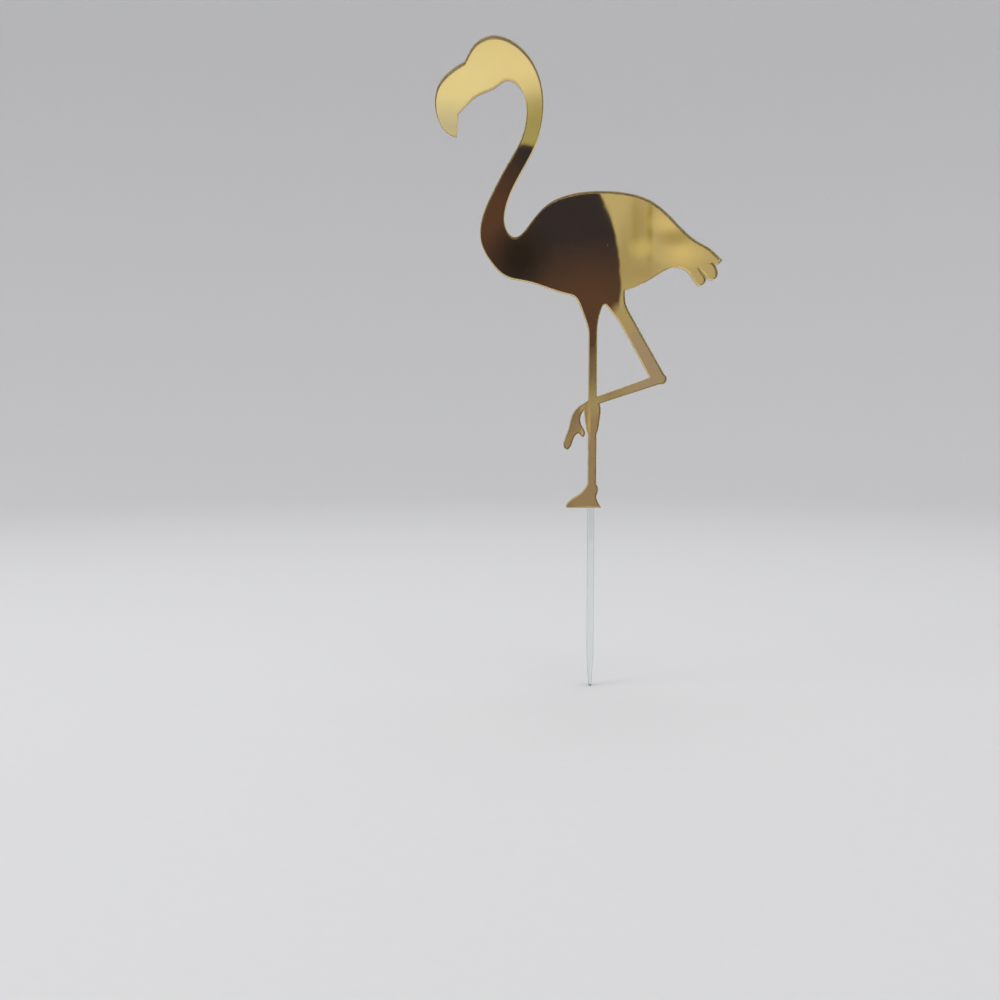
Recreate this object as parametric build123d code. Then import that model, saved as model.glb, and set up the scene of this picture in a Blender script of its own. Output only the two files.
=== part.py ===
"""Mirror-acrylic topper: a wading bird in silhouette, standing on one leg, with a push-in stake.

The origin is on the stake's axis, level with the sole of the foot. +Z is up, the mirror faces -Y,
the bill points to -X and the tail to +X. All lengths are in millimetres.
"""
import os

from build123d import *

# Whole silhouette
BIRD_HEIGHT = 150.0          # sole to crown

# Standing leg
LEG_WIDTH = 2.6              # shank
HOCK_WIDTH = 5.2             # knob half way up the shank
HOCK_LENGTH = 13.0
FOOT_LENGTH = 11.4           # heel to toes along the sole
FOOT_HEIGHT = 8.0            # sole to where the foot runs into the shank

# Lifted leg
THIGH_WIDTH = 4.1            # where it leaves the body
THIGH_KNEE_WIDTH = 4.4
SHIN_WIDTH = 3.1             # at the knee
SHIN_HOCK_WIDTH = 2.4
KNEE_DIAMETER = 3.5
LIFTED_FOOT_LENGTH = 16.0    # hock to the longest toe

# Sheet the silhouette is cut from, front to back
ACRYLIC_THICKNESS = 2.85     # tinted clear sheet
MIRROR_THICKNESS = 0.05      # reflective coat on the back of it
BACKING_THICKNESS = 0.1      # lacquer that guards the coat

# Stake and the tape that bonds it to the back of the standing leg
STAKE_SETBACK = 0.2          # stake inside the leg's edge, each side
STAKE_THICKNESS = 3.0
STAKE_DEPTH = 60.0           # below the sole
STAKE_BOND_LENGTH = 30.0     # above the sole
STAKE_POINT_LENGTH = 10.0
STAKE_TIP_WIDTH = 0.8
TAPE_THICKNESS = 0.4
TAPE_SETBACK = 0.1           # tape inside the stake's edge, each side
TAPE_END_MARGIN = 1.0        # tape short of the bond's two ends

STAKE_WIDTH = LEG_WIDTH - 2 * STAKE_SETBACK
TAPE_WIDTH = STAKE_WIDTH - 2 * TAPE_SETBACK

# Depth of each layer's back face in front of the stake's axis
TAPE_BACK = STAKE_THICKNESS / 2
BACKING_BACK = TAPE_BACK + TAPE_THICKNESS
MIRROR_BACK = BACKING_BACK + BACKING_THICKNESS
ACRYLIC_BACK = MIRROR_BACK + MIRROR_THICKNESS

# Body outline, clockwise from the tip of the bill: across and up, as shares of the bird's height
BILL_SHARES = [
    (-0.293, 0.793), (-0.322, 0.810), (-0.339, 0.863), (-0.329, 0.902), (-0.306, 0.927), (-0.276, 0.946),
]
CROWN_SHARES = [(-0.276, 0.946), (-0.256, 0.980), (-0.213, 1.0)]
NAPE_SHARES = [
    (-0.213, 1.0), (-0.156, 0.975), (-0.119, 0.920), (-0.1085, 0.853), (-0.123, 0.780),
    (-0.165, 0.700), (-0.1905, 0.632), (-0.187, 0.597), (-0.169, 0.581),
]
BACK_SHARES = [
    (-0.169, 0.581), (-0.143, 0.601), (-0.096, 0.652), (-0.034, 0.674), (0.040, 0.677),
    (0.124, 0.656), (0.176, 0.612), (0.222, 0.572), (0.247, 0.558), (0.276, 0.532),
]
UPPER_NOTCH_SHARES = [(0.276, 0.532), (0.270, 0.525), (0.254, 0.5275)]
MIDDLE_FEATHER_SHARES = [(0.254, 0.5275), (0.266, 0.508), (0.263, 0.494), (0.253, 0.491), (0.244, 0.500)]
LOWER_NOTCH_SHARES = [(0.244, 0.500), (0.227, 0.516), (0.240, 0.497)]
UNDERTAIL_SHARES = [
    (0.240, 0.497), (0.2395, 0.485), (0.230, 0.4785), (0.220, 0.486), (0.203, 0.509),
    (0.180, 0.518), (0.134, 0.499), (0.095, 0.478), (0.0675, 0.469),
]
RUMP_SHARES = [(0.0675, 0.469), (0.069, 0.443)]
CROTCH_SHARES = [(0.041, 0.423), (0.024, 0.4385), (0.0155, 0.423)]
BELLY_SHARES = [
    (-0.018, 0.412), (-0.0275, 0.437), (-0.039, 0.455), (-0.059, 0.462), (-0.098, 0.474), (-0.144, 0.488),
    (-0.186, 0.498), (-0.220, 0.529), (-0.241, 0.570), (-0.241, 0.612), (-0.219, 0.670), (-0.180, 0.742),
    (-0.154, 0.790), (-0.144, 0.844), (-0.154, 0.889), (-0.184, 0.911), (-0.214, 0.894), (-0.236, 0.885),
    (-0.256, 0.874), (-0.289, 0.842),
]

# Standing leg: heights as shares of the bird's height, knob and foot as shares of their own sizes
LEG_ROOT_SHARE = 0.375
HOCK_BASE_SHARE = 0.150
HOCK_SHARES = [(0.0, 0.0), (0.33, 0.20), (0.43, 0.44), (0.50, 0.70), (0.40, 0.90), (0.0, 1.0)]
TOE_SHARES = [(-0.737, 0.0), (-0.70, 0.16), (-0.57, 0.345), (-0.33, 0.565), (-0.19, 0.79), (-0.10, 1.0)]
ANKLE_SHARES = [(0.10, 1.0), (0.165, 0.80), (0.17, 0.72), (0.12, 0.47), (0.18, 0.20), (0.263, 0.0)]

# Lifted leg: places as shares of the bird's height, foot as shares of its own length from the hock
HIP_SHARES = (0.070, 0.408)
THIGH_END_SHARES = (0.144, 0.277)
KNEE_SHARES = (0.148, 0.279)
SHIN_START_SHARES = (0.146, 0.279)
SHIN_END_SHARES = (0.002, 0.230)
LIFTED_FOOT_SHARES = [
    (0.0, 0.14), (-0.10, 0.02), (-0.33, -0.15), (-0.42, -0.31), (-0.48, -0.55), (-0.575, -0.81),
    (-0.575, -0.92), (-0.515, -0.97), (-0.45, -0.92), (-0.34, -0.675), (-0.285, -0.645),
    (-0.235, -0.68), (-0.185, -0.715), (-0.155, -0.66), (-0.21, -0.50), (-0.25, -0.34),
    (-0.19, -0.19), (0.0, -0.12),
]

LEVEL = Vector(1, 0)
UPWARD = Vector(0, 1)
DOWNWARD = Vector(0, -1)


def scaled(shares, across, up):
    """Turn a table of shares into points on the sheet."""
    return [Vector(x * across, z * up) for x, z in shares]


def on_bird(*shares):
    return scaled(shares, BIRD_HEIGHT, BIRD_HEIGHT)


def smooth(points, leave=None, arrive=None):
    """Curve through points, along the given directions at its ends or else along the end chords."""
    leave = leave or points[1] - points[0]
    arrive = arrive or points[-1] - points[-2]
    return Spline(*points, tangents=(leave.normalized(), arrive.normalized()), tangent_scalars=(1, 1))


def limb_corners(start, end, start_width, end_width):
    """Corners of a tapered band, round from the left of its start."""
    side = (end - start).normalized().rotate(Axis.Z, 90)
    return [
        start + side * (start_width / 2),
        end + side * (end_width / 2),
        end - side * (end_width / 2),
        start - side * (start_width / 2),
    ]


def thigh_corners():
    hip, thigh_end = on_bird(HIP_SHARES, THIGH_END_SHARES)
    return limb_corners(hip, thigh_end, THIGH_WIDTH, THIGH_KNEE_WIDTH)


def plate(corners):
    return make_face(Polyline(*corners, close=True))


def body():
    """Head, neck, body, tail feathers and the roots of both legs."""
    outer_hip, outer_knee, inner_knee, inner_hip = thigh_corners()
    leg_root = LEG_ROOT_SHARE * BIRD_HEIGHT
    leg_right = Vector(LEG_WIDTH / 2, leg_root)
    leg_left = Vector(-LEG_WIDTH / 2, leg_root)
    bill = on_bird(*BILL_SHARES)
    belly = [leg_left, *on_bird(*BELLY_SHARES)]
    edges = [
        Spline(*bill),
        smooth(on_bird(*CROWN_SHARES), arrive=LEVEL),
        smooth(on_bird(*NAPE_SHARES), leave=LEVEL, arrive=LEVEL),
        smooth(on_bird(*BACK_SHARES), leave=LEVEL),
        *Polyline(*on_bird(*UPPER_NOTCH_SHARES)).edges(),
        Spline(*on_bird(*MIDDLE_FEATHER_SHARES)),
        *Polyline(*on_bird(*LOWER_NOTCH_SHARES)).edges(),
        Spline(*on_bird(*UNDERTAIL_SHARES)),
        smooth([*on_bird(*RUMP_SHARES), outer_hip], arrive=outer_knee - outer_hip),
        Line(outer_hip, inner_hip),
        smooth([inner_hip, *on_bird(*CROTCH_SHARES), leg_right], inner_hip - inner_knee, DOWNWARD),
        Line(leg_right, leg_left),
        smooth(belly, leave=UPWARD),
        Line(belly[-1], bill[0]),
    ]
    return make_face(edges)


def standing_leg():
    """Straight shank with a knob at the hock and a webbed foot on a flat sole."""
    toes = scaled(TOE_SHARES, FOOT_LENGTH, FOOT_HEIGHT)
    ankle = scaled(ANKLE_SHARES, FOOT_LENGTH, FOOT_HEIGHT)
    foot = make_face([Spline(*toes), Line(toes[-1], ankle[0]), Spline(*ankle), Line(ankle[-1], toes[0])])
    foot_middle = Vector(0, FOOT_HEIGHT / 2)
    leg_root = Vector(0, LEG_ROOT_SHARE * BIRD_HEIGHT)
    shank = plate(limb_corners(foot_middle, leg_root, LEG_WIDTH, LEG_WIDTH))
    knob_side = Spline(*scaled(HOCK_SHARES, HOCK_WIDTH, HOCK_LENGTH))
    knob = make_face([knob_side, knob_side.mirror(Plane.YZ)])
    return shank + foot + Pos(0, HOCK_BASE_SHARE * BIRD_HEIGHT) * knob


def lifted_leg():
    """Thigh and shin folded at the knee, with the foot hanging in front of the standing leg."""
    knee, shin_start, shin_end = on_bird(KNEE_SHARES, SHIN_START_SHARES, SHIN_END_SHARES)
    thigh = plate(thigh_corners())
    shin = plate(limb_corners(shin_start, shin_end, SHIN_WIDTH, SHIN_HOCK_WIDTH))
    web = scaled(LIFTED_FOOT_SHARES, LIFTED_FOOT_LENGTH, LIFTED_FOOT_LENGTH)
    foot = make_face([Spline(*web), Line(web[-1], web[0])])
    return thigh + shin + Pos(knee) * Circle(KNEE_DIAMETER / 2) + Pos(0, shin_end.Y) * foot


def layer(outline, back, thickness):
    """Extrude an outline drawn on the sheet towards the viewer, from its own depth."""
    return extrude(Plane.XZ.offset(back) * outline, amount=thickness)


def stake():
    """Clear stick behind the leg, with a straight top and a blunt point."""
    top = Vector(0, STAKE_BOND_LENGTH)
    shoulder = Vector(0, STAKE_POINT_LENGTH - STAKE_DEPTH)
    tip = Vector(0, -STAKE_DEPTH)
    blade = plate(limb_corners(top, shoulder, STAKE_WIDTH, STAKE_WIDTH))
    point = plate(limb_corners(shoulder, tip, STAKE_WIDTH, STAKE_TIP_WIDTH))
    return layer(blade + point, -STAKE_THICKNESS / 2, STAKE_THICKNESS)


def stake_tape():
    """Strip between the stake and the back of the leg."""
    bottom = Vector(0, TAPE_END_MARGIN)
    top = Vector(0, STAKE_BOND_LENGTH - TAPE_END_MARGIN)
    return layer(plate(limb_corners(bottom, top, TAPE_WIDTH, TAPE_WIDTH)), TAPE_BACK, TAPE_THICKNESS)


silhouette = body() + standing_leg() + lifted_leg()

pieces = {
    "acrylic_panel": layer(silhouette, ACRYLIC_BACK, ACRYLIC_THICKNESS),
    "mirror_coating": layer(silhouette, MIRROR_BACK, MIRROR_THICKNESS),
    "backing_lacquer": layer(silhouette, BACKING_BACK, BACKING_THICKNESS),
    "stake_tape": stake_tape(),
    "stake": stake(),
}

os.makedirs("parts", exist_ok=True)
for name, piece in pieces.items():
    export_step(piece, f"parts/{name}.step")
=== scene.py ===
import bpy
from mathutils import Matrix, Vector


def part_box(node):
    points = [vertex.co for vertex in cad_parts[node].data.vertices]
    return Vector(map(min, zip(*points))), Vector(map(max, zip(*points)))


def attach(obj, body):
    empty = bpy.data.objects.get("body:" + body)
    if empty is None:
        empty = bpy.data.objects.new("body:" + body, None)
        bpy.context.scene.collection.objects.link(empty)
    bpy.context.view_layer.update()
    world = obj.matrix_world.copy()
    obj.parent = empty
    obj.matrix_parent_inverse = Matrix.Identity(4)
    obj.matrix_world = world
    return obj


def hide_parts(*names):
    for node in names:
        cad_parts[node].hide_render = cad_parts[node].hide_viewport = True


bl_info = {
    "name": "Mirror bird topper",
    "version": (1, 0, 0),
    "blender": (4, 5, 0),
    "location": "View3D > Sidebar > Topper",
    "description": "Finishes a mirror-acrylic bird topper and its push-in stake, and sets them on a stage",
    "category": "Object",
}

import math

import bmesh
import bpy
from bpy.props import FloatProperty, FloatVectorProperty, PointerProperty
from mathutils import Matrix, Vector
from mathutils.kdtree import KDTree

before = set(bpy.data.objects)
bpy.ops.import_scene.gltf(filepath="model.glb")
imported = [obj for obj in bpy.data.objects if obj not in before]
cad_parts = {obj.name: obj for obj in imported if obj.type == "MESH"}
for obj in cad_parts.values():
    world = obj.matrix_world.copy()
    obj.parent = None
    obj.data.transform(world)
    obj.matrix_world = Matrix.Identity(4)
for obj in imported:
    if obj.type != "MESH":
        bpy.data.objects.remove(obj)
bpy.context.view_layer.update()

MM = 0.001
PANEL_LOW, PANEL_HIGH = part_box("acrylic_panel")
TAPE_LOW, TAPE_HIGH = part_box("stake_tape")
FLOOR_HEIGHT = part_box("stake")[0].z     # the stake's point stands on the floor


class SheetSettings(bpy.types.PropertyGroup):
    """Gold mirror sheet: tinted acrylic, reflective coat and backing lacquer."""

    edge_radius: FloatProperty(
        name="Edge radius", description="Rounding of the laser-cut edges",
        default=0.15 * MM, unit="LENGTH", precision=5)
    coat_gap: FloatProperty(
        name="Coat gap",
        description="Space between the acrylic and its coat, so that light meets them in turn",
        default=0.03 * MM, unit="LENGTH", precision=5)
    burn_back: FloatProperty(
        name="Burn-back", description="How far the cut drives the reflective coat back from the edge",
        default=0.35 * MM, unit="LENGTH", precision=5)
    tint: FloatVectorProperty(
        name="Tint", description="Colour that the acrylic lets through",
        default=(0.944, 0.813, 0.200), subtype="COLOR", size=3, min=0.0, max=1.0)
    tint_density: FloatProperty(
        name="Tint density", description="How fast the acrylic takes light up, per metre of its depth",
        default=280.0)
    coat_colour: FloatVectorProperty(
        name="Coat colour", description="Reflective coat behind the acrylic",
        default=(0.95, 0.865, 0.78), subtype="COLOR", size=3, min=0.0, max=1.0)
    cut_colour: FloatVectorProperty(
        name="Cut colour", description="What the laser-cut edges let through",
        default=(0.93, 0.83, 0.58), subtype="COLOR", size=3, min=0.0, max=1.0)
    lacquer_colour: FloatVectorProperty(
        name="Lacquer colour", description="Lacquer on the back",
        default=(0.30, 0.29, 0.275), subtype="COLOR", size=3, min=0.0, max=1.0)
    scorch_colour: FloatVectorProperty(
        name="Scorch colour", description="Lacquer browned along the cut",
        default=(0.11, 0.085, 0.06), subtype="COLOR", size=3, min=0.0, max=1.0)
    scorch_width: FloatProperty(
        name="Scorch width", description="How far the browning reaches in from the cut",
        default=0.9 * MM, unit="LENGTH", precision=5)


class StakeSettings(bpy.types.PropertyGroup):
    """Clear stake and the tape that bonds it to the leg."""

    edge_radius: FloatProperty(
        name="Edge radius", description="Rounding of the stake's edges",
        default=0.14 * MM, unit="LENGTH", precision=5)
    bond_gap: FloatProperty(
        name="Bond gap", description="Space between the tape and what it sticks to",
        default=0.02 * MM, unit="LENGTH", precision=5)
    tape_radius: FloatProperty(
        name="Tape radius", description="Rounding of the tape's edges",
        default=0.06 * MM, unit="LENGTH", precision=5)
    clear_colour: FloatVectorProperty(
        name="Clear colour", description="Clear acrylic of the stake",
        default=(0.88, 0.92, 0.91), subtype="COLOR", size=3, min=0.0, max=1.0)
    haze_colour: FloatVectorProperty(
        name="Haze colour", description="What the stake's cut sides let through",
        default=(0.74, 0.785, 0.78), subtype="COLOR", size=3, min=0.0, max=1.0)
    tape_colour: FloatVectorProperty(
        name="Tape colour", description="Milky adhesive strip",
        default=(0.88, 0.89, 0.86), subtype="COLOR", size=3, min=0.0, max=1.0)


class StageSettings(bpy.types.PropertyGroup):
    """Camera, floor, lamps and the card that the mirror sees."""

    lens: FloatProperty(
        name="Lens", description="Focal length on a 36 mm sensor", default=40.0, unit="CAMERA")
    camera_x: FloatProperty(
        name="Camera across", description="Camera's place along X",
        default=-30.1 * MM, unit="LENGTH", precision=4)
    camera_distance: FloatProperty(
        name="Camera distance", description="Camera to the front of the sheet",
        default=361.8 * MM, unit="LENGTH", precision=4)
    camera_z: FloatProperty(
        name="Camera height", description="Camera above the sole",
        default=31.0 * MM, unit="LENGTH", precision=4)
    camera_pitch: FloatProperty(
        name="Camera pitch", description="How far the camera looks down",
        default=math.radians(4.5), unit="ROTATION")
    floor_colour: FloatVectorProperty(
        name="Floor colour", description="Pale floor and backdrop",
        default=(0.66, 0.66, 0.67), subtype="COLOR", size=3, min=0.0, max=1.0)
    bowl_radius: FloatProperty(
        name="Backdrop radius", description="Middle of the floor to the backdrop", default=1.4, unit="LENGTH")
    tent_radius: FloatProperty(
        name="Tent radius", description="Round card that the mirror sees in front of it",
        default=0.667, unit="LENGTH")
    top_lamp: FloatProperty(
        name="Top lamp", description="Power of the lamp overhead", default=3.0, unit="POWER")
    side_lamp: FloatProperty(
        name="Side lamp", description="Power of the lamp at the left", default=2.0, unit="POWER")
    ambient: FloatProperty(
        name="Ambient", description="Strength of the light from all round", default=0.8)


# Node helpers

def add(tree, kind, inputs=None, **settings):
    """Add a node, set its options, and set or link its inputs."""
    node = tree.nodes.new(kind)
    for name, value in settings.items():
        setattr(node, name, value)
    for name, value in (inputs or {}).items():
        if isinstance(value, bpy.types.NodeSocket):
            tree.links.new(value, node.inputs[name])
        else:
            node.inputs[name].default_value = value
    return node


def math_node(tree, operation, first, second=0.0):
    return add(tree, "ShaderNodeMath", {0: first, 1: second}, operation=operation).outputs[0]


def remap(tree, value, low, high, to_low=0.0, to_high=1.0):
    """Stretch a range of values onto another, held at its ends."""
    ends = {"Value": value, "From Min": low, "From Max": high, "To Min": to_low, "To Max": to_high}
    return add(tree, "ShaderNodeMapRange", ends).outputs["Result"]


def between(tree, share, ends):
    """A value that goes from one end to the other as a share goes from nothing to one."""
    return remap(tree, share, 0.0, 1.0, *ends)


def blend_colours(tree, share, first, second):
    node = add(tree, "ShaderNodeMix", {0: share}, data_type="RGBA")
    for index, colour in ((6, first), (7, second)):
        if isinstance(colour, bpy.types.NodeSocket):
            tree.links.new(colour, node.inputs[index])
        else:
            node.inputs[index].default_value = (*colour, 1.0)
    return node.outputs[2]


def lightened(colour, factor):
    """A plain colour made lighter, or darker by a factor under one."""
    return tuple(min(1.0, channel * factor) for channel in colour)


def stretched(tree, vector, scale, turn=0.0):
    """Coordinates turned about Y and stretched along the axes."""
    ways = {"Vector": vector, "Scale": scale, "Rotation": (0.0, turn, 0.0)}
    return add(tree, "ShaderNodeMapping", ways).outputs["Vector"]


def shifted(tree, vector, step):
    """Coordinates moved by the same step along every axis."""
    return add(tree, "ShaderNodeVectorMath", {0: vector, 1: (step, step, step)}, operation="ADD").outputs[0]


def noise(tree, vector, scale, detail=2.0, distortion=0.0):
    """Cloudy noise, whose scale is in repeats for each unit of its coordinates."""
    wanted = {"Vector": vector, "Scale": scale, "Detail": detail, "Distortion": distortion}
    return add(tree, "ShaderNodeTexNoise", wanted).outputs["Fac"]


def bumped(tree, height, strength, depth):
    """Surface normal tilted by a height."""
    wanted = {"Height": height, "Strength": strength, "Distance": depth}
    return add(tree, "ShaderNodeBump", wanted).outputs["Normal"]


def new_group(name, inputs, outputs):
    """Empty shader group; inputs and outputs are pairs of a name and a socket type."""
    group = bpy.data.node_groups.new(name, "ShaderNodeTree")
    for label, kind in inputs:
        group.interface.new_socket(label, in_out="INPUT", socket_type=kind)
    for label, kind in outputs:
        group.interface.new_socket(label, in_out="OUTPUT", socket_type=kind)
    source = group.nodes.new("NodeGroupInput")
    sink = group.nodes.new("NodeGroupOutput")
    return group, source.outputs, sink.inputs


def place_group(tree, group, inputs):
    return add(tree, "ShaderNodeGroup", inputs, node_tree=group).outputs


def marks(tree, group, place, scale, amount):
    """How strongly a shared kind of mark shows at each place."""
    return place_group(tree, group, {"Vector": place, "Scale": scale, "Amount": amount})["Mask"]


def object_coordinates(tree):
    return tree.nodes.new("ShaderNodeTexCoord").outputs["Object"]


def attribute(tree, name):
    return add(tree, "ShaderNodeAttribute", attribute_name=name).outputs["Fac"]


def feed(tree, shader, sources):
    """Link sockets to the named inputs of a shader."""
    for name, source in sources.items():
        tree.links.new(source, shader.inputs[name])


def new_material(name):
    """Material with its tree and its Principled shader."""
    material = bpy.data.materials.new(name)
    material.use_nodes = True
    tree = material.node_tree
    return material, tree, tree.nodes["Principled BSDF"]


def output_of(tree):
    return tree.nodes["Material Output"]


def scaled(tree, vector, scale):
    """Coordinates made finer or coarser alike along every axis."""
    return add(tree, "ShaderNodeVectorMath", {0: vector, "Scale": scale}, operation="SCALE").outputs[0]


def blend_values(tree, share, first, second):
    return add(tree, "ShaderNodeMix", {0: share, 2: first, 3: second}).outputs[0]


def total(tree, first, *others):
    for other in others:
        first = math_node(tree, "ADD", first, other)
    return first


# Effects that several finishes share

PLACE_IN = ("Vector", "NodeSocketVector")
SCALE_IN = ("Scale", "NodeSocketFloat")
AMOUNT_IN = ("Amount", "NodeSocketFloat")
MASK_OUT = ("Mask", "NodeSocketFloat")
HEIGHT_OUT = ("Height", "NodeSocketFloat")
HAZE_OUT = ("Haze", "NodeSocketFloat")

# How fine each effect is, in repeats per metre
COARSE_LINES = 1800.0
FINE_LINES = 6000.0
HAZE_PATCHES = 90.0
SCRATCH_LINES = 2600.0
SCRATCH_FIELDS = 45.0
SMUDGE_MARKS = 38.0
SMUDGE_RIDGES = 900.0
DUST_CELLS = 420.0
# Window of its noise over which each effect goes from nothing to full
HAZE_WINDOW = (0.35, 0.7)
SCRATCH_WINDOW = (0.70, 0.78)
SCRATCH_FIELD_WINDOW = (0.48, 0.62)
SMUDGE_WINDOW = (0.50, 0.72)
RIDGE_WINDOW = (0.3, 0.7)
SPECK_WINDOW = (0.80, 1.0)

LINE_STRETCH = 0.03            # laser lines run through the sheet, so they hardly change along Y
FINE_SHARE = 0.3               # share of the fine lines among the coarse ones
RIDGE_SHARES = (0.55, 1.0)     # what the ridges leave of a smudge
SPECK_SIZES = (0.0, 0.09)      # radius of a speck, as a share of its cell
# Hairlines at each slant: turn about Y, repeats per metre along them, and a step that sets them apart
SCRATCH_SLANTS = ((0.35, 35.0, 0.0), (-0.6, 50.0, 3.1), (1.25, 28.0, 7.7))


def striation_group(name):
    """Fine lines that a laser leaves across the thickness of a cut, and the haze that comes with them."""
    group, given, made = new_group(name, [PLACE_IN, SCALE_IN], [HEIGHT_OUT, HAZE_OUT])
    place = scaled(group, given["Vector"], given["Scale"])
    across = stretched(group, place, (1.0, LINE_STRETCH, 1.0))
    coarse = noise(group, across, COARSE_LINES, detail=1.0)
    fine = noise(group, across, FINE_LINES, detail=1.0)
    patches = noise(group, place, HAZE_PATCHES)
    group.links.new(blend_values(group, FINE_SHARE, coarse, fine), made["Height"])
    group.links.new(remap(group, patches, *HAZE_WINDOW), made["Haze"])
    return group


def scratch_group(name):
    """Sparse hairlines at a few slants on the faces of a sheet."""
    group, given, made = new_group(name, [PLACE_IN, SCALE_IN, AMOUNT_IN], [MASK_OUT])
    place = scaled(group, given["Vector"], given["Scale"])
    lines = None
    for turn, along, step in SCRATCH_SLANTS:
        drawn = shifted(group, stretched(group, place, (along, 1.0, SCRATCH_LINES), turn), step)
        line = remap(group, noise(group, drawn, 1.0, detail=1.0), *SCRATCH_WINDOW)
        lines = line if lines is None else math_node(group, "MAXIMUM", lines, line)
    where = remap(group, noise(group, place, SCRATCH_FIELDS), *SCRATCH_FIELD_WINDOW)
    shown = math_node(group, "MULTIPLY", lines, where)
    group.links.new(math_node(group, "MULTIPLY", shown, given["Amount"]), made["Mask"])
    return group


def smudge_group(name):
    """Soft greasy marks left by handling."""
    group, given, made = new_group(name, [PLACE_IN, SCALE_IN, AMOUNT_IN], [MASK_OUT])
    place = scaled(group, given["Vector"], given["Scale"])
    broad = remap(group, noise(group, place, SMUDGE_MARKS, detail=3.0, distortion=0.6), *SMUDGE_WINDOW)
    ridges = remap(group, noise(group, place, SMUDGE_RIDGES), *RIDGE_WINDOW, *RIDGE_SHARES)
    shown = math_node(group, "MULTIPLY", broad, ridges)
    group.links.new(math_node(group, "MULTIPLY", shown, given["Amount"]), made["Mask"])
    return group


def dust_group(name):
    """Scattered specks."""
    group, given, made = new_group(name, [PLACE_IN, SCALE_IN, AMOUNT_IN], [MASK_OUT])
    place = scaled(group, given["Vector"], given["Scale"])
    cells = add(group, "ShaderNodeTexVoronoi", {"Vector": place, "Scale": DUST_CELLS}).outputs
    chance = add(group, "ShaderNodeSeparateColor", {0: cells["Color"]}).outputs[0]
    size = remap(group, chance, *SPECK_WINDOW, *SPECK_SIZES)
    speck = math_node(group, "LESS_THAN", cells["Distance"], size)
    group.links.new(math_node(group, "MULTIPLY", speck, given["Amount"]), made["Mask"])
    return group


def shared_effects():
    """The shader groups, built once and kept for every finish."""
    makers = {
        "striations": ("Laser striations", striation_group),
        "scratches": ("Hairline scratches", scratch_group),
        "smudges": ("Handling smudges", smudge_group),
        "dust": ("Dust specks", dust_group),
    }
    return {key: bpy.data.node_groups.get(name) or make(name) for key, (name, make) in makers.items()}


# Finishes

# Pairs are given clean first and then hazy, cloudy or worn; clouds, patches and grains are per metre
ACRYLIC_IOR = 1.49
CUT_LINE_DEPTH = 0.05 * MM     # laser lines on a cut edge

SHEET_POLISH = 0.006           # roughness of a clean face
SHEET_CUT = (0.50, 0.65)       # roughness of a cut edge
SHEET_SOOT = (0.75, 1.0)       # share of the cut's own colour on its edge
CUT_GLOSS = 0.5
CUT_GLOSS_ROUGHNESS = 0.2
SHEET_CLEAN = (1.0, 1.0, 1.0)
SHEET_DUST = (0.40, 0.38, 0.34)


def gold_acrylic(settings, effects):
    """Clear sheet, dyed gold all through, with polished faces and striated cut edges."""
    material, tree, shader = new_material("gold acrylic")
    place = object_coordinates(tree)
    cut = attribute(tree, "cut_edge")
    lines = place_group(tree, effects["striations"], {"Vector": place, "Scale": 1.0})
    scratches = marks(tree, effects["scratches"], place, scale=1.0, amount=0.12)
    smudges = marks(tree, effects["smudges"], place, scale=1.0, amount=0.05)
    dust = marks(tree, effects["dust"], place, scale=1.0, amount=0.35)
    polished = total(tree, scratches, smudges, dust, SHEET_POLISH)
    sawn = between(tree, lines["Haze"], SHEET_CUT)
    soot = math_node(tree, "MULTIPLY", cut, between(tree, lines["Haze"], SHEET_SOOT))
    colour = blend_colours(tree, dust, SHEET_CLEAN, SHEET_DUST)
    ripple = math_node(tree, "MULTIPLY", lines["Height"], cut)
    feed(tree, shader, {
        "Roughness": blend_values(tree, cut, polished, sawn),
        "Normal": bumped(tree, ripple, strength=0.35, depth=CUT_LINE_DEPTH),
        "Base Color": blend_colours(tree, soot, colour, settings.cut_colour),
        "Coat Weight": math_node(tree, "MULTIPLY", cut, CUT_GLOSS),
    })
    shader.inputs["Coat Roughness"].default_value = CUT_GLOSS_ROUGHNESS
    shader.inputs["IOR"].default_value = ACRYLIC_IOR
    shader.inputs["Transmission Weight"].default_value = 1.0
    dye = add(tree, "ShaderNodeVolumeAbsorption")
    dye.inputs["Color"].default_value = (*settings.tint, 1.0)
    dye.inputs["Density"].default_value = settings.tint_density
    tree.links.new(dye.outputs["Volume"], output_of(tree).inputs["Volume"])
    return material


SWAY_SLOW = 22.0               # waves of the sheet per metre
SWAY_QUICK = 140.0
SWAY_QUICK_SHARE = 0.05
SWAY_DEPTH = 0.12 * MM
COAT_CLOUDS = 60.0
COAT_CLOUD_WINDOW = (0.4, 0.8)
COAT_ROUGHNESS = (0.012, 0.03)
COAT_DIMMING = 0.93


def silver_coat(settings):
    """Vacuum-laid mirror whose sheet is not quite flat, so that reflections sway a little."""
    material, tree, shader = new_material("silver coat")
    place = object_coordinates(tree)
    slow = noise(tree, place, SWAY_SLOW, detail=1.0)
    quick = noise(tree, place, SWAY_QUICK, detail=1.0)
    height = total(tree, slow, math_node(tree, "MULTIPLY", quick, SWAY_QUICK_SHARE))
    cloud = remap(tree, noise(tree, place, COAT_CLOUDS, detail=4.0), *COAT_CLOUD_WINDOW)
    dim = lightened(settings.coat_colour, COAT_DIMMING)
    feed(tree, shader, {
        "Roughness": between(tree, cloud, COAT_ROUGHNESS),
        "Normal": bumped(tree, height, strength=1.0, depth=SWAY_DEPTH),
        "Base Color": blend_colours(tree, cloud, settings.coat_colour, dim),
    })
    shader.inputs["Metallic"].default_value = 1.0
    return material


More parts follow.
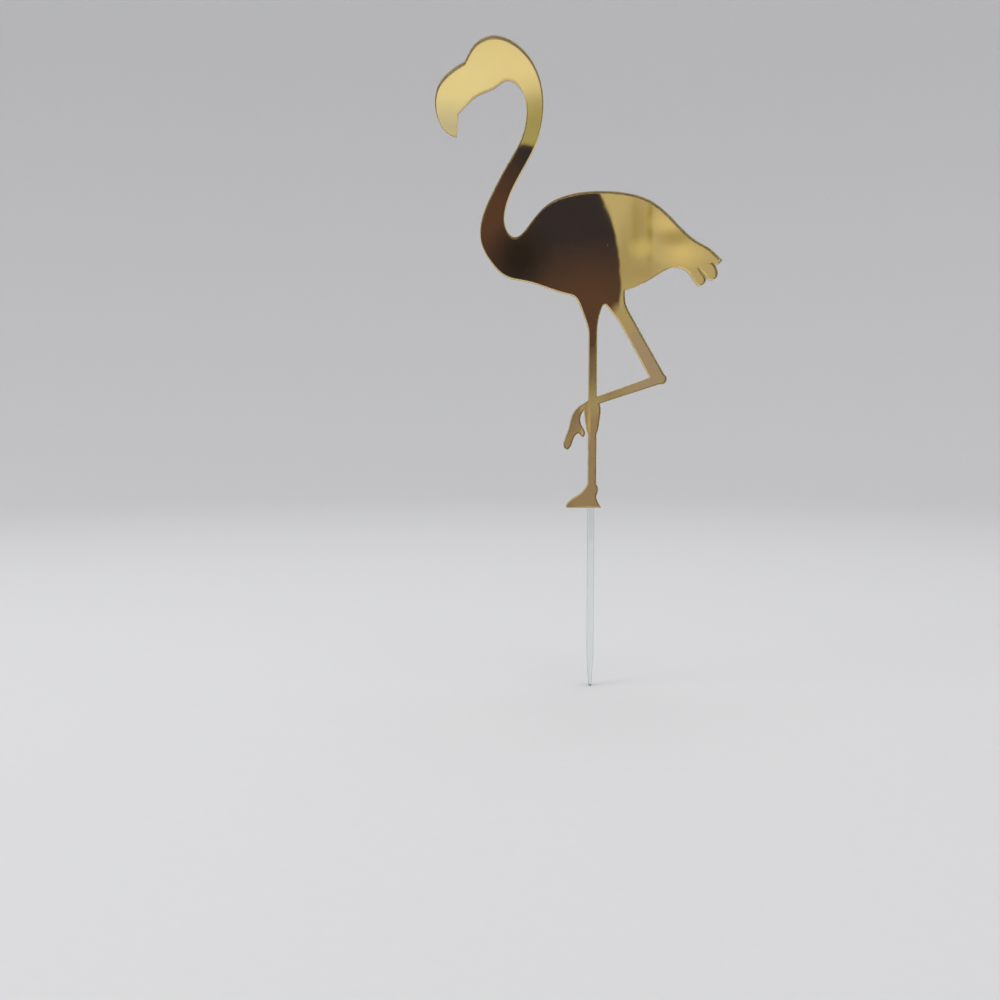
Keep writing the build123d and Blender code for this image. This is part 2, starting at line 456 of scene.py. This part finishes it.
LACQUER_CLOUDS = 55.0
LACQUER_CLOUD_WINDOW = (0.3, 0.7)
LACQUER_LIGHTENING = 1.22
LACQUER_ROUGHNESS = (0.36, 0.58)
LACQUER_SCRATCH = (0.55, 0.54, 0.52)
LACQUER_DUST = (0.72, 0.71, 0.68)
SCORCH_PATCHES = 160.0
SCORCH_WINDOW = (0.3, 0.6)
SCORCH_SHARES = (0.35, 1.0)    # how strong the browning is from patch to patch
SCORCH_FALL = 1.3              # how quickly the browning fades
PEEL_GRAINS = 1300.0
PEEL_DEPTH = 0.06 * MM


def grey_lacquer(settings, effects):
    """Satin lacquer with a fine orange peel, scuffs, and a rim browned by the cut."""
    material, tree, shader = new_material("grey lacquer")
    place = object_coordinates(tree)
    scratches = marks(tree, effects["scratches"], place, scale=0.8, amount=0.6)
    smudges = marks(tree, effects["smudges"], place, scale=1.2, amount=1.0)
    dust = marks(tree, effects["dust"], place, scale=0.9, amount=0.7)
    cloud = remap(tree, noise(tree, place, LACQUER_CLOUDS, detail=5.0), *LACQUER_CLOUD_WINDOW)
    pale = lightened(settings.lacquer_colour, LACQUER_LIGHTENING)
    colour = blend_colours(tree, cloud, settings.lacquer_colour, pale)
    uneven = remap(tree, noise(tree, place, SCORCH_PATCHES, detail=3.0), *SCORCH_WINDOW, *SCORCH_SHARES)
    reach = math_node(tree, "MULTIPLY", attribute(tree, "rim"), uneven)
    browned = math_node(tree, "POWER", reach, SCORCH_FALL)
    colour = blend_colours(tree, browned, colour, settings.scorch_colour)
    colour = blend_colours(tree, scratches, colour, LACQUER_SCRATCH)
    colour = blend_colours(tree, dust, colour, LACQUER_DUST)
    peel = math_node(tree, "SUBTRACT", noise(tree, place, PEEL_GRAINS), scratches)
    worn = math_node(tree, "MAXIMUM", smudges, scratches)
    feed(tree, shader, {
        "Roughness": between(tree, worn, LACQUER_ROUGHNESS),
        "Normal": bumped(tree, peel, strength=0.35, depth=PEEL_DEPTH),
        "Base Color": colour,
    })
    return material


STAKE_POLISH = 0.01            # roughness of a clean face
STAKE_CUT = (0.30, 0.50)       # roughness of a cut side


def clear_acrylic(settings, effects):
    """Clear stick with polished faces and striated, hazy cut sides."""
    material, tree, shader = new_material("clear acrylic")
    place = object_coordinates(tree)
    cut = attribute(tree, "cut_edge")
    lines = place_group(tree, effects["striations"], {"Vector": place, "Scale": 0.7})
    scratches = marks(tree, effects["scratches"], place, scale=1.3, amount=0.2)
    smudges = marks(tree, effects["smudges"], place, scale=1.5, amount=0.1)
    polished = total(tree, scratches, smudges, STAKE_POLISH)
    sawn = between(tree, lines["Haze"], STAKE_CUT)
    ripple = math_node(tree, "MULTIPLY", lines["Height"], cut)
    feed(tree, shader, {
        "Roughness": blend_values(tree, cut, polished, sawn),
        "Normal": bumped(tree, ripple, strength=0.4, depth=CUT_LINE_DEPTH),
        "Base Color": blend_colours(tree, cut, settings.clear_colour, settings.haze_colour),
    })
    shader.inputs["IOR"].default_value = ACRYLIC_IOR
    shader.inputs["Transmission Weight"].default_value = 1.0
    return material


TAPE_IOR = 1.47
TAPE_TRANSMISSION = 0.75
TAPE_CLOUDS = 500.0
TAPE_CLOUD_WINDOW = (0.35, 0.65)
TAPE_CLOUD_DEPTH = 0.03 * MM
TAPE_LIGHTENING = 1.1
TAPE_ROUGHNESS = (0.30, 0.5)


def milky_tape(settings, effects):
    """Double-sided strip with small bubbles under it."""
    material, tree, shader = new_material("milky tape")
    place = object_coordinates(tree)
    bubbles = marks(tree, effects["dust"], place, scale=2.0, amount=1.0)
    cloud = remap(tree, noise(tree, place, TAPE_CLOUDS, detail=3.0), *TAPE_CLOUD_WINDOW)
    clear = lightened(settings.tape_colour, TAPE_LIGHTENING)
    thin = math_node(tree, "MAXIMUM", cloud, bubbles)
    feed(tree, shader, {
        "Roughness": between(tree, cloud, TAPE_ROUGHNESS),
        "Normal": bumped(tree, cloud, strength=0.2, depth=TAPE_CLOUD_DEPTH),
        "Base Color": blend_colours(tree, thin, settings.tape_colour, clear),
    })
    shader.inputs["IOR"].default_value = TAPE_IOR
    shader.inputs["Transmission Weight"].default_value = TAPE_TRANSMISSION
    return material


# Mesh work

WELD = 0.01 * MM               # joins the loose triangles of a CAD node
SLIVER = 0.001 * MM            # tolerance of the cuts, and the shortest edge kept after them
FLAT_DEPTH = 0.001 * MM        # a face no deeper than this along Y is a front or back
FLAT_ANGLE = math.radians(0.05)
SHARP_ANGLE = math.radians(35)
BEVEL_SEGMENTS = 2


def merged_copy(node):
    """A bmesh of a CAD node with its loose triangles joined."""
    shape = bmesh.new()
    shape.from_mesh(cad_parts[node].data)
    bmesh.ops.remove_doubles(shape, verts=shape.verts, dist=WELD)
    return shape


def join_flat_faces(shape):
    """Take out the edges that lie within flat faces, so that only real edges are left to round."""
    bmesh.ops.dissolve_limit(shape, angle_limit=FLAT_ANGLE, verts=shape.verts, edges=shape.edges)


def is_cap(face):
    """Whether a face lies flat across Y, as the front and back of a plate do."""
    depths = [vert.co.y for vert in face.verts]
    return max(depths) - min(depths) < FLAT_DEPTH


def squeeze_depth(shape, low, high, gap):
    """Draw the front and back faces of a plate in by a small gap."""
    middle = (low + high) / 2
    for vert in shape.verts:
        vert.co.y = low + gap if vert.co.y < middle else high - gap


def draw_in(shape, distance):
    """Move the outline of a plate inwards, along the sheet."""
    shape.normal_update()
    moves = []
    for vert in shape.verts:
        outward = Vector((0.0, 0.0, 0.0))
        for face in vert.link_faces:
            if not is_cap(face):
                outward += face.normal
        outward.y = 0.0
        outward.normalize()
        moves.append(outward)
    for vert, outward in zip(shape.verts, moves):
        vert.co -= outward * distance


def pull_back(shape, front, depth, shortest):
    """Keep the front of a plate, drop edges shorter than asked, and pull straight walls back from it."""
    behind = [face for face in shape.faces if not is_cap(face) or face.verts[0].co.y > front + FLAT_DEPTH]
    bmesh.ops.delete(shape, geom=behind, context="FACES")
    bmesh.ops.remove_doubles(shape, verts=shape.verts, dist=shortest)
    join_flat_faces(shape)
    made = bmesh.ops.extrude_face_region(shape, geom=shape.faces[:])["geom"]
    back = [item for item in made if isinstance(item, bmesh.types.BMVert)]
    bmesh.ops.translate(shape, verts=back, vec=(0.0, depth, 0.0))
    bmesh.ops.recalc_face_normals(shape, faces=shape.faces)


def round_edges(shape, edges, radius):
    bmesh.ops.bevel(
        shape, geom=edges, offset=radius, offset_type="OFFSET", segments=BEVEL_SEGMENTS, profile=0.5,
        affect="EDGES", clamp_overlap=False, material=-1)


def mark_cut_edges(shape):
    """Note which faces the laser cut."""
    layer = shape.faces.layers.float.new("cut_edge")
    for face in shape.faces:
        face[layer] = 0.0 if is_cap(face) else 1.0


def shade(shape):
    """Fronts and backs stay dead flat, and the walls between them run smoothly round."""
    for face in shape.faces:
        face.smooth = not is_cap(face)
    for edge in shape.edges:
        edge.smooth = edge.calc_face_angle(0.0) < SHARP_ANGLE


def add_piece(shape, name, node, material):
    """Turn a bmesh into the piece that stands for a CAD node."""
    shade(shape)
    mesh = bpy.data.meshes.new(name)
    shape.to_mesh(mesh)
    shape.free()
    if mesh.has_custom_normals:
        mesh.attributes.remove(mesh.attributes["custom_normal"])
    mesh.materials.append(material)
    piece = bpy.data.objects.new(name, mesh)
    bpy.context.scene.collection.objects.link(piece)
    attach(piece, "root")
    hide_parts(node)


# Pieces

def build_acrylic_panel(settings):
    """Tinted sheet with its cut edges just broken, held clear of the coat."""
    shape = merged_copy("acrylic_panel")
    depth = PANEL_HIGH.y - PANEL_LOW.y - settings.coat_gap
    pull_back(shape, PANEL_LOW.y, depth, settings.edge_radius)
    rim = [edge for edge in shape.edges if len({is_cap(face) for face in edge.link_faces}) == 2]
    round_edges(shape, rim, settings.edge_radius)
    mark_cut_edges(shape)
    finish = gold_acrylic(settings, shared_effects())
    add_piece(shape, "gold_acrylic_sheet", "acrylic_panel", finish)


def build_mirror_coating(settings):
    """Reflective coat, flat all over, which the cut burned back a hair from the edge."""
    shape = merged_copy("mirror_coating")
    draw_in(shape, settings.burn_back)
    add_piece(shape, "silver_coat_layer", "mirror_coating", silver_coat(settings))


RIM_CELL = 0.75 * MM           # spacing of the cuts that carry the browned rim


def slice_plate(shape, axis, low, high):
    """Cut a plate at even steps along one axis."""
    count = math.floor((high - low) / RIM_CELL)
    step = (high - low) / count
    for index in range(1, count):
        spot = axis * (low + index * step)
        everything = shape.verts[:] + shape.edges[:] + shape.faces[:]
        bmesh.ops.bisect_plane(shape, geom=everything, dist=SLIVER, plane_co=spot, plane_no=axis)


def flat_spot(vert):
    """Where a vertex lies on the sheet, whatever its depth."""
    return Vector((vert.co.x, 0.0, vert.co.z))


def build_backing_lacquer(settings):
    """Lacquer on the back, cut into small cells so that its rim can fade from brown to grey."""
    low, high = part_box("backing_lacquer")
    shape = merged_copy("backing_lacquer")
    outline = KDTree(len(shape.verts))
    for index, vert in enumerate(shape.verts):
        outline.insert(flat_spot(vert), index)
    outline.balance()
    slice_plate(shape, Vector((1.0, 0.0, 0.0)), low.x, high.x)
    slice_plate(shape, Vector((0.0, 0.0, 1.0)), low.z, high.z)
    bmesh.ops.dissolve_degenerate(shape, dist=SLIVER, edges=shape.edges)
    layer = shape.verts.layers.float.new("rim")
    for vert in shape.verts:
        distance = outline.find(flat_spot(vert))[2]
        vert[layer] = max(0.0, 1.0 - distance / settings.scorch_width)
    finish = grey_lacquer(settings, shared_effects())
    add_piece(shape, "grey_lacquer_coat", "backing_lacquer", finish)


def build_stake_tape(settings):
    """Adhesive strip with softened corners."""
    shape = merged_copy("stake_tape")
    join_flat_faces(shape)
    squeeze_depth(shape, TAPE_LOW.y, TAPE_HIGH.y, settings.bond_gap)
    round_edges(shape, shape.edges[:], settings.tape_radius)
    add_piece(shape, "bonding_tape", "stake_tape", milky_tape(settings, shared_effects()))


def build_stake(settings):
    """Clear stick with broken edges and a blunt point."""
    shape = merged_copy("stake")
    join_flat_faces(shape)
    round_edges(shape, shape.edges[:], settings.edge_radius)
    mark_cut_edges(shape)
    add_piece(shape, "clear_stake", "stake", clear_acrylic(settings, shared_effects()))


# Stage

def stage_object(shape, name, material):
    mesh = bpy.data.meshes.new(name)
    bmesh.ops.recalc_face_normals(shape, faces=shape.faces)
    for face in shape.faces:
        face.smooth = True
    shape.to_mesh(mesh)
    shape.free()
    mesh.materials.append(material)
    item = bpy.data.objects.new(name, mesh)
    bpy.context.scene.collection.objects.link(item)
    return item


def only_in_reflections(item):
    """Hide a card from the camera, from diffuse light and from the lamps."""
    item.visible_camera = False
    item.visible_diffuse = False
    item.visible_shadow = False
    item.visible_volume_scatter = False


def spun(profile, angle, steps):
    """Sweep a line of points about Z."""
    shape = bmesh.new()
    verts = [shape.verts.new(spot) for spot in profile]
    edges = [shape.edges.new(pair) for pair in zip(verts, verts[1:])]
    whole = math.isclose(angle, 2 * math.pi)
    bmesh.ops.spin(
        shape, geom=verts + edges, cent=(0.0, 0.0, 0.0), axis=(0.0, 0.0, 1.0), angle=angle, steps=steps,
        use_merge=whole)
    bmesh.ops.remove_doubles(shape, verts=shape.verts, dist=WELD)
    return shape


BOWL_CORNER = 0.6              # radius of the bend between floor and backdrop
BOWL_WALL = 0.85               # height of the backdrop
BOWL_ARC_STEPS = 12
BOWL_STEPS = 96
PAPER_GRAINS = 300.0           # per metre
PAPER_DIMMING = 0.97
PAPER_ROUGHNESS = 0.9
PAPER_SHINE = 0.1


def pale_paper(settings):
    """Matt paper with a faint grain."""
    material, tree, shader = new_material("pale paper")
    grain = noise(tree, object_coordinates(tree), PAPER_GRAINS, detail=3.0)
    dim = lightened(settings.floor_colour, PAPER_DIMMING)
    feed(tree, shader, {"Base Color": blend_colours(tree, grain, settings.floor_colour, dim)})
    shader.inputs["Roughness"].default_value = PAPER_ROUGHNESS
    shader.inputs["Specular IOR Level"].default_value = PAPER_SHINE
    return material


def build_floor(settings):
    """Round pale floor that runs up into a backdrop on every side."""
    inner = settings.bowl_radius - BOWL_CORNER
    profile = [Vector((0.0, 0.0, FLOOR_HEIGHT))]
    for index in range(BOWL_ARC_STEPS + 1):
        angle = math.pi / 2 * index / BOWL_ARC_STEPS
        out = inner + BOWL_CORNER * math.sin(angle)
        profile.append(Vector((out, 0.0, FLOOR_HEIGHT + BOWL_CORNER * (1 - math.cos(angle)))))
    profile.append(Vector((settings.bowl_radius, 0.0, FLOOR_HEIGHT + BOWL_WALL)))
    stage_object(spun(profile, 2 * math.pi, BOWL_STEPS), "pale_floor", pale_paper(settings))


TENT_HALF_ANGLE = math.radians(105)
TENT_HEIGHT = 0.75
TENT_LIFT = 1 * MM             # the tent's foot above the floor
TENT_FLOOR_SHARE = 0.63        # share of the radius where the strip of floor starts
TENT_STEPS = 64

# Painted reflection: glow of the tent card by height above the sole, in millimetres, which the mirror shows
# as its bright and dim bands
PAINTED_REFLECTION_LEVELS = (
    (-60, (0.42, 0.42, 0.42)),
    (30, (0.37, 0.37, 0.38)),
    (100, (0.40, 0.40, 0.42)),
    (165, (0.53, 0.53, 0.53)),
    (235, (0.57, 0.57, 0.57)),
    (285, (0.46, 0.47, 0.47)),
    (308, (0.54, 0.56, 0.56)),
    (336, (0.83, 0.87, 0.96)),
)
# Strength of that glow by distance from the tent's middle, as a share of its radius
TENT_SIDES = ((0.0, 1.0), (0.27, 1.0), (0.38, 1.45), (0.80, 1.45), (1.0, 1.1))
# Painted reflections: patches on the tent, such as pale panels, shaded corners and sheens that the mirror
# shows: middle across and up, half width and half height in millimetres, softness, colour
PAINTED_REFLECTION_PATCHES = (
    (48, -60, 115, 72, 0.25, (0.07, 0.07, 0.07)),
    (-82, 290, 64, 46, 0.40, (0.62, 0.69, 0.95)),
    (-74, 328, 62, 26, 0.50, (0.88, 0.94, 1.06)),
    (2, 284, 22, 24, 0.45, (0.42, 0.45, 0.36)),
    (50, -12, 36, 72, 0.40, (0.33, 0.29, 0.37)),
    (55, 44, 9, 13, 0.60, (0.47, 0.47, 0.49)),
    (46, 32, 1.5, 26, 0.60, (0.62, 0.58, 0.50)),
    (52, 30, 1.2, 20, 0.60, (0.55, 0.50, 0.45)),
    (102, 78, 22, 36, 0.50, (0.39, 0.37, 0.55)),
    (84, 170, 7, 27, 0.70, (0.42, 0.42, 0.39)),
    (96, 198, 8, 24, 0.70, (0.45, 0.43, 0.38)),
    (103.8, 194, 2.2, 34, 0.50, (0.37, 0.37, 0.21)),
    (92.2, 196, 2.4, 24, 0.60, (0.41, 0.40, 0.30)),
    (99, 178, 9, 8, 0.60, (0.60, 0.60, 0.51)),
    (95, 157, 15, 9, 0.60, (0.43, 0.41, 0.39)),
    (120, 202, 13, 8, 0.60, (0.72, 0.70, 0.64)),
    (134, 172, 17, 9, 0.70, (0.70, 0.68, 0.61)),
    (127, 187, 13, 6, 0.60, (0.45, 0.44, 0.34)),
)
# Painted reflection: light patches that lie over the edge of the dark oval, given in the same way
OVER_PATCHES = (
    (81, 117, 10, 12, 0.35, (0.43, 0.42, 0.42)),
)
# Painted dark reflection: dark oval on the tent, given in the same way up to its softness
DARK_REFLECTION_OVAL = (-11, 150, 91, 125)
DARK_REFLECTION_COLOUR = (0.038, 0.037, 0.085)
# Its softness goes from one value to another between two heights
DARK_SOFT_HEIGHTS = (75 * MM, 125 * MM)
DARK_SOFTNESS = (0.25, 0.01)
# Painted reflection: warmer and darker patches in the dark oval, given like those of the rest of the tent
DARK_REFLECTION_PATCHES = (
    (-42, 212, 32, 44, 0.60, (0.104, 0.063, 0.082)),
    (53, 118, 61, 46, 0.60, (0.108, 0.070, 0.090)),
    (-11, 172, 20, 24, 0.60, (0.026, 0.024, 0.040)),
)
ANY_DEPTH = 1000.0             # half depth of every oval, so large that depth doesn't count


def banded(tree, value, stops):
    """Ramp through pairs of a position and a colour."""
    ramp = add(tree, "ShaderNodeValToRGB", {0: value})
    band = ramp.color_ramp
    while len(band.elements) < len(stops):
        band.elements.new(0.5)
    for element, (spot, colour) in zip(band.elements, stops):
        element.position = spot
        element.color = (*colour, 1.0)
    return ramp.outputs["Color"]


def oval(tree, place, across, up, half_width, half_height, soft):
    """One inside an oval on the tent, and nothing outside its soft edge."""
    ways = {
        "Vector": place,
        "Location": (across * MM, 0.0, up * MM),
        "Scale": (half_width * MM, ANY_DEPTH, half_height * MM),
    }
    centred = add(tree, "ShaderNodeMapping", ways, vector_type="TEXTURE").outputs["Vector"]
    distance = add(tree, "ShaderNodeVectorMath", {0: centred}, operation="LENGTH").outputs["Value"]
    inner = math_node(tree, "SUBTRACT", 1.0, soft)
    outer = math_node(tree, "ADD", 1.0, soft)
    return remap(tree, distance, inner, outer, 1.0, 0.0)


def patched(tree, place, colour, patches):
    """A colour with soft ovals of other colours laid over it in turn."""
    for across, up, half_width, half_height, soft, patch_colour in patches:
        share = oval(tree, place, across, up, half_width, half_height, soft)
        colour = blend_colours(tree, share, colour, patch_colour)
    return colour


def tent_material(settings):
    """Painted reflections for the mirror: glow by height, with soft patches and a dark oval laid over it."""
    material, tree, shader = new_material("tent cloth")
    tree.nodes.remove(shader)
    place = object_coordinates(tree)
    axes = add(tree, "ShaderNodeSeparateXYZ", {0: place}).outputs
    top = PAINTED_REFLECTION_LEVELS[-1][0]
    bottom = PAINTED_REFLECTION_LEVELS[0][0]
    height = remap(tree, axes["Z"], bottom * MM, top * MM)
    levels = [((spot - bottom) / (top - bottom), level) for spot, level in PAINTED_REFLECTION_LEVELS]
    painted_reflection = patched(tree, place, banded(tree, height, levels), PAINTED_REFLECTION_PATCHES)
    dark = patched(tree, place, DARK_REFLECTION_COLOUR, DARK_REFLECTION_PATCHES)
    soft = remap(tree, axes["Z"], *DARK_SOFT_HEIGHTS, *DARK_SOFTNESS)
    painted_reflection = blend_colours(tree, oval(tree, place, *DARK_REFLECTION_OVAL, soft), painted_reflection, dark)
    painted_reflection = patched(tree, place, painted_reflection, OVER_PATCHES)
    side = math_node(tree, "DIVIDE", math_node(tree, "ABSOLUTE", axes["X"]), settings.tent_radius)
    strength = banded(tree, side, [(spot, (level, level, level)) for spot, level in TENT_SIDES])
    glow = add(tree, "ShaderNodeEmission", {"Color": painted_reflection, "Strength": strength})
    tree.links.new(glow.outputs[0], output_of(tree).inputs["Surface"])
    return material


def build_tent(settings):
    """Card a little over a half turn round in front of the mirror, with a strip of floor at its foot; it
    glows with painted reflections that the mirror and the clear pieces show and the camera never sees.
    """
    foot = FLOOR_HEIGHT + TENT_LIFT
    profile = [
        Vector((0.0, -settings.tent_radius * TENT_FLOOR_SHARE, foot)),
        Vector((0.0, -settings.tent_radius, foot)),
        Vector((0.0, -settings.tent_radius, foot + TENT_HEIGHT)),
    ]
    shape = spun(profile, 2 * TENT_HALF_ANGLE, TENT_STEPS)
    turn = Matrix.Rotation(-TENT_HALF_ANGLE, 3, "Z")
    bmesh.ops.rotate(shape, verts=shape.verts, cent=(0.0, 0.0, 0.0), matrix=turn)
    only_in_reflections(stage_object(shape, "light_tent", tent_material(settings)))


LAMP_TARGET = Vector((0.0, 0.0, 0.05))
TOP_LAMP_PLACE = Vector((0.05, 0.05, 0.95))
TOP_LAMP_WIDTH = 0.7
SIDE_LAMP_PLACE = Vector((-0.75, -0.25, 0.55))
SIDE_LAMP_WIDTH = 0.5
WHITE = (1.0, 1.0, 1.0, 1.0)
SENSOR_WIDTH = 36.0            # millimetres, the unit that cameras use
NEAR_CLIP = 5 * MM


def add_lamp(name, power, width, spot):
    """Square soft lamp that faces the topper."""
    data = bpy.data.lights.new(name, "AREA")
    data.energy = power
    data.size = width
    lamp = bpy.data.objects.new(name, data)
    lamp.location = spot
    lamp.rotation_euler = (LAMP_TARGET - spot).to_track_quat("-Z", "Y").to_euler()
    bpy.context.scene.collection.objects.link(lamp)


def build_lights(settings):
    add_lamp("top_lamp", settings.top_lamp, TOP_LAMP_WIDTH, TOP_LAMP_PLACE)
    add_lamp("side_lamp", settings.side_lamp, SIDE_LAMP_WIDTH, SIDE_LAMP_PLACE)
    world = bpy.data.worlds.new("soft room")
    world.use_nodes = True
    sky = world.node_tree.nodes["Background"]
    sky.inputs["Color"].default_value = WHITE
    sky.inputs["Strength"].default_value = settings.ambient
    bpy.context.scene.world = world


def build_camera(settings):
    data = bpy.data.cameras.new("camera")
    data.lens = settings.lens
    data.sensor_width = SENSOR_WIDTH
    data.clip_start = NEAR_CLIP
    camera = bpy.data.objects.new("camera", data)
    camera.location = (settings.camera_x, PANEL_LOW.y - settings.camera_distance, settings.camera_z)
    camera.rotation_euler = (math.pi / 2 - settings.camera_pitch, 0.0, 0.0)
    bpy.context.scene.collection.objects.link(camera)
    bpy.context.scene.camera = camera


def build_stage(settings):
    build_floor(settings)
    build_tent(settings)
    build_lights(settings)
    build_camera(settings)
    bpy.context.scene.view_settings.view_transform = "Standard"


# Operators

class TOPPER_OT_acrylic_panel(bpy.types.Operator):
    """Break the edges of the gold acrylic sheet and dye it"""

    bl_idname = "topper.acrylic_panel"
    bl_label = "Acrylic panel"

    def execute(self, context):
        build_acrylic_panel(context.scene.topper_sheet)
        return {"FINISHED"}


class TOPPER_OT_mirror_coating(bpy.types.Operator):
    """Silver the back of the acrylic"""

    bl_idname = "topper.mirror_coating"
    bl_label = "Mirror coating"

    def execute(self, context):
        build_mirror_coating(context.scene.topper_sheet)
        return {"FINISHED"}


class TOPPER_OT_backing_lacquer(bpy.types.Operator):
    """Lacquer the back of the coat"""

    bl_idname = "topper.backing_lacquer"
    bl_label = "Backing lacquer"

    def execute(self, context):
        build_backing_lacquer(context.scene.topper_sheet)
        return {"FINISHED"}


class TOPPER_OT_stake_tape(bpy.types.Operator):
    """Lay the tape that bonds the stake"""

    bl_idname = "topper.stake_tape"
    bl_label = "Stake tape"

    def execute(self, context):
        build_stake_tape(context.scene.topper_stake)
        return {"FINISHED"}


class TOPPER_OT_stake(bpy.types.Operator):
    """Make the clear push-in stake"""

    bl_idname = "topper.stake"
    bl_label = "Stake"

    def execute(self, context):
        build_stake(context.scene.topper_stake)
        return {"FINISHED"}


class TOPPER_OT_stage(bpy.types.Operator):
    """Set the floor, the tent, the lamps and the camera"""

    bl_idname = "topper.stage"
    bl_label = "Stage"

    def execute(self, context):
        build_stage(context.scene.topper_stage)
        return {"FINISHED"}


OPERATORS = (
    TOPPER_OT_acrylic_panel, TOPPER_OT_mirror_coating, TOPPER_OT_backing_lacquer,
    TOPPER_OT_stake_tape, TOPPER_OT_stake, TOPPER_OT_stage,
)


class VIEW3D_PT_topper(bpy.types.Panel):
    """Sizes, colours and steps of the topper"""

    bl_label = "Mirror bird topper"
    bl_space_type = "VIEW_3D"
    bl_region_type = "UI"
    bl_category = "Topper"

    def draw(self, context):
        for group in (context.scene.topper_sheet, context.scene.topper_stake, context.scene.topper_stage):
            box = self.layout.box()
            for name in group.__annotations__:
                box.prop(group, name)
        for operator in OPERATORS:
            self.layout.operator(operator.bl_idname)


CLASSES = (SheetSettings, StakeSettings, StageSettings, *OPERATORS, VIEW3D_PT_topper)


def register():
    for entry in CLASSES:
        bpy.utils.register_class(entry)
    bpy.types.Scene.topper_sheet = PointerProperty(type=SheetSettings)
    bpy.types.Scene.topper_stake = PointerProperty(type=StakeSettings)
    bpy.types.Scene.topper_stage = PointerProperty(type=StageSettings)


def unregister():
    del bpy.types.Scene.topper_stage
    del bpy.types.Scene.topper_stake
    del bpy.types.Scene.topper_sheet
    for entry in reversed(CLASSES):
        bpy.utils.unregister_class(entry)


def main():
    register()
    bpy.ops.topper.acrylic_panel()
    bpy.ops.topper.mirror_coating()
    bpy.ops.topper.backing_lacquer()
    bpy.ops.topper.stake_tape()
    bpy.ops.topper.stake()
    bpy.ops.topper.stage()


if __name__ == "__main__":
    main()
